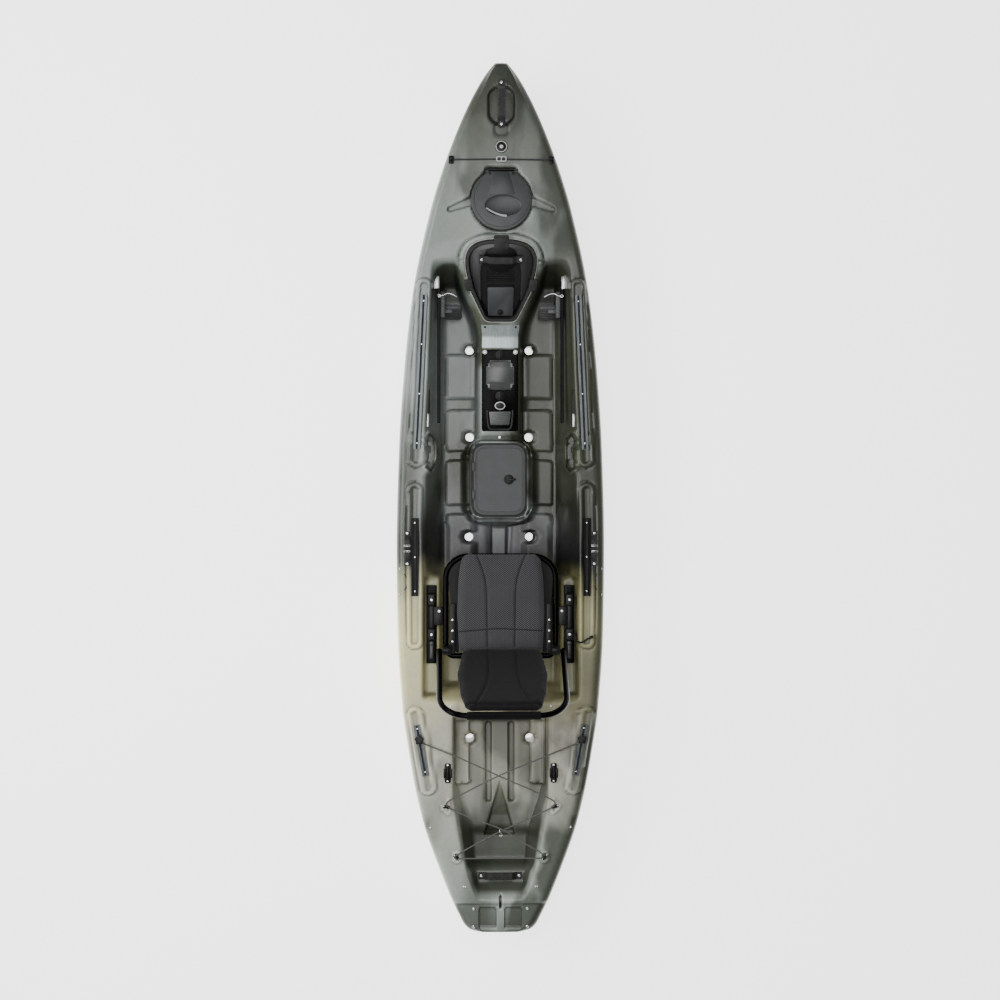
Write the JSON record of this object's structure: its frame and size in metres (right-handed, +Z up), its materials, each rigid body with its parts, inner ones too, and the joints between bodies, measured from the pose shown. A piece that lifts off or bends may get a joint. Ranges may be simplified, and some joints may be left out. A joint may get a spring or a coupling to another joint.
{
  "type": "sit-on-top fishing kayak",
  "caption": "Sit-on-top fishing kayak with open cockpit, framed mesh seat, drive cover, hatches, gear tracks and a tank well laced with shock cord.",
  "frame": {"origin": "on the ground under the middle of the hull, where its flat bottom rests", "axes": "+X to the bow, +Y to port, +Z up"},
  "size_m": [3.706, 0.888, 0.7174],
  "materials": {
    "hull_plastic": "rotomoulded polyethylene, mottled camouflage greys, satin",
    "black_plastic": "moulded nylon, fine texture",
    "grey_plastic": "moulded dark grey plastic, fine texture",
    "rubber": "matt moulded rubber",
    "aluminium": "anodised extrusion",
    "black_anodised": "black anodised tube and extrusion",
    "steel": "bright bent wire",
    "seat_mesh": "woven sling mesh, dark grey",
    "back_fabric": "woven sling mesh, near black",
    "webbing": "black webbing",
    "cord": "braided shock cord, black"
  },
  "bodies": {
    "hull_body": {"bow_bungee": "cord", "bow_cord_clip": "grey_plastic", "bow_handle": "rubber", "bow_hatch_hinge": "black_plastic", "bow_hatch_rim": "black_plastic", "bow_hook_left": "black_plastic", "bow_hook_right": "black_plastic", "brace_rail_left": "black_anodised", "brace_rail_right": "black_anodised", "centre_hatch_rim": "black_plastic", "cleat_left": "black_plastic", "cleat_right": "black_plastic", "console_gasket": "rubber", "console_pod": "black_plastic", "drain_plug": "black_plastic", "front_track_left": "aluminium", "front_track_right": "aluminium", "hull": "hull_plastic", "mid_track_left": "black_anodised", "mid_track_right": "black_anodised", "pod_handle": "rubber", "seat_rail_left": "aluminium", "seat_rail_right": "aluminium", "side_handle_left": "rubber", "side_handle_right": "rubber", "stern_anchor_left": "black_plastic", "stern_anchor_right": "black_plastic", "stern_handle": "rubber", "stern_track_left": "aluminium", "stern_track_right": "aluminium", "tank_bungee": "cord"},
    "bow_lid": {"bow_hatch_lid": "grey_plastic"},
    "hatch_lid": {"centre_hatch_lid": "grey_plastic"},
    "hatch_latch": {"centre_hatch_latch": "black_plastic"},
    "strap_latch": {"pod_strap": "rubber"},
    "pod_latch_port": {"pod_latch_left": "rubber"},
    "pod_latch_starboard": {"pod_latch_right": "rubber"},
    "cover": {"drive_cover": "black_plastic", "drive_insert": "grey_plastic", "drive_pad": "grey_plastic"},
    "knob_front": {"drive_knob_front": "black_plastic"},
    "knob_rear": {"drive_knob_rear": "black_plastic"},
    "cover_loop": {"drive_loop": "rubber"},
    "pedal_port": {"pedal_left": "black_plastic"},
    "pedal_starboard": {"pedal_right": "black_plastic"},
    "trigger_port": {"pedal_lever_left": "steel"},
    "trigger_starboard": {"pedal_lever_right": "steel"},
    "seat": {"seat_frame": "black_anodised", "seat_cushion": "seat_mesh", "seat_panel_left": "black_plastic", "seat_panel_right": "black_plastic", "seat_clamp_left": "black_plastic", "seat_clamp_right": "black_plastic", "seat_strap": "webbing"},
    "seat_back": {"back_frame": "black_anodised", "backrest": "back_fabric"},
    "clamp_lever_port": {"seat_lever_left": "black_plastic"},
    "clamp_lever_starboard": {"seat_lever_right": "black_plastic"},
    "star_port": {"stern_knob_left": "black_plastic"},
    "star_starboard": {"stern_knob_right": "black_plastic"}
  },
  "joints": [
    {"name": "bow_hatch_hinge", "type": "hinge", "parent": "hull_body", "child": "bow_lid", "pos_m": [1.398, 0, 0.38], "axis": [0, 1, 0], "range_deg": [0, 95]},
    {"name": "centre_hatch_hinge", "type": "hinge", "parent": "hull_body", "child": "hatch_lid", "pos_m": [0.08675, 0.116, 0.137], "axis": [-1, 0, 0], "range_deg": [0, 115]},
    {"name": "hatch_latch_turn", "type": "hinge", "parent": "hatch_lid", "child": "hatch_latch", "pos_m": [0.089, -0.04, 0.14], "axis": [0, 0, 1], "range_deg": [0, 90]},
    {"name": "pod_strap_hinge", "type": "hinge", "parent": "hull_body", "child": "strap_latch", "pos_m": [1.11078, 0, 0.39839], "axis": [0, 1, 0], "range_deg": [0, 100]},
    {"name": "pod_latch_port_hinge", "type": "hinge", "parent": "hull_body", "child": "pod_latch_port", "pos_m": [0.91246, 0.152, 0.32876], "axis": [-0.9285, 0, -0.3714], "range_deg": [0, 100]},
    {"name": "pod_latch_starboard_hinge", "type": "hinge", "parent": "hull_body", "child": "pod_latch_starboard", "pos_m": [0.91246, -0.152, 0.32876], "axis": [0.9285, 0, 0.3714], "range_deg": [0, 100]},
    {"name": "cover_lift", "type": "slide", "parent": "hull_body", "child": "cover", "axis": [0, 0, 1], "range_m": [0, 0.12]},
    {"name": "front_knob_turn", "type": "hinge", "parent": "cover", "child": "knob_front", "pos_m": [0.625, 0, 0.22153], "axis": [-0.1191, 0, 0.9929], "range_deg": [0, 90]},
    {"name": "rear_knob_turn", "type": "hinge", "parent": "cover", "child": "knob_rear", "pos_m": [0.44926, 0, 0.20044], "axis": [-0.1191, 0, 0.9929], "range_deg": [0, 90]},
    {"name": "cover_loop_hinge", "type": "hinge", "parent": "cover", "child": "cover_loop", "pos_m": [0.385, 0, 0.19878], "axis": [0, 1, 0], "range_deg": [0, 100]},
    {"name": "pedal_port_slide", "type": "slide", "parent": "hull_body", "child": "pedal_port", "axis": [1, 0, 0], "range_m": [-0.42, 0.02]},
    {"name": "pedal_starboard_slide", "type": "slide", "parent": "hull_body", "child": "pedal_starboard", "axis": [1, 0, 0], "range_m": [-0.42, 0.02]},
    {"name": "trigger_port_turn", "type": "hinge", "parent": "pedal_port", "child": "trigger_port", "pos_m": [0.872, 0.255, 0.284], "axis": [0, 0, 1], "range_deg": [0, 15], "stiffness_Nm_per_rad": 0.3},
    {"name": "trigger_starboard_turn", "type": "hinge", "parent": "pedal_starboard", "child": "trigger_starboard", "pos_m": [0.872, -0.255, 0.284], "axis": [0, 0, -1], "range_deg": [0, 15], "stiffness_Nm_per_rad": 0.3},
    {"name": "seat_slide", "type": "slide", "parent": "hull_body", "child": "seat", "axis": [1, 0, 0], "range_m": [-0.09, 0.03]},
    {"name": "back_fold", "type": "hinge", "parent": "seat", "child": "seat_back", "pos_m": [-0.635, 0, 0.385], "axis": [0, 1, 0], "range_deg": [0, 116]},
    {"name": "clamp_lever_port_turn", "type": "hinge", "parent": "seat", "child": "clamp_lever_port", "pos_m": [-0.612, 0.295, 0.272], "axis": [0, 1, 0], "range_deg": [0, 60]},
    {"name": "clamp_lever_starboard_turn", "type": "hinge", "parent": "seat", "child": "clamp_lever_starboard", "pos_m": [-0.612, -0.295, 0.272], "axis": [0, 1, 0], "range_deg": [0, 60]},
    {"name": "star_port_turn", "type": "hinge", "parent": "hull_body", "child": "star_port", "pos_m": [-1.02, 0.347, 0.32], "axis": [0, 0, 1], "range_deg": [0, 180]},
    {"name": "star_starboard_turn", "type": "hinge", "parent": "hull_body", "child": "star_starboard", "pos_m": [-1.02, -0.347, 0.32], "axis": [0, 0, 1], "range_deg": [0, 180]}
  ]
}
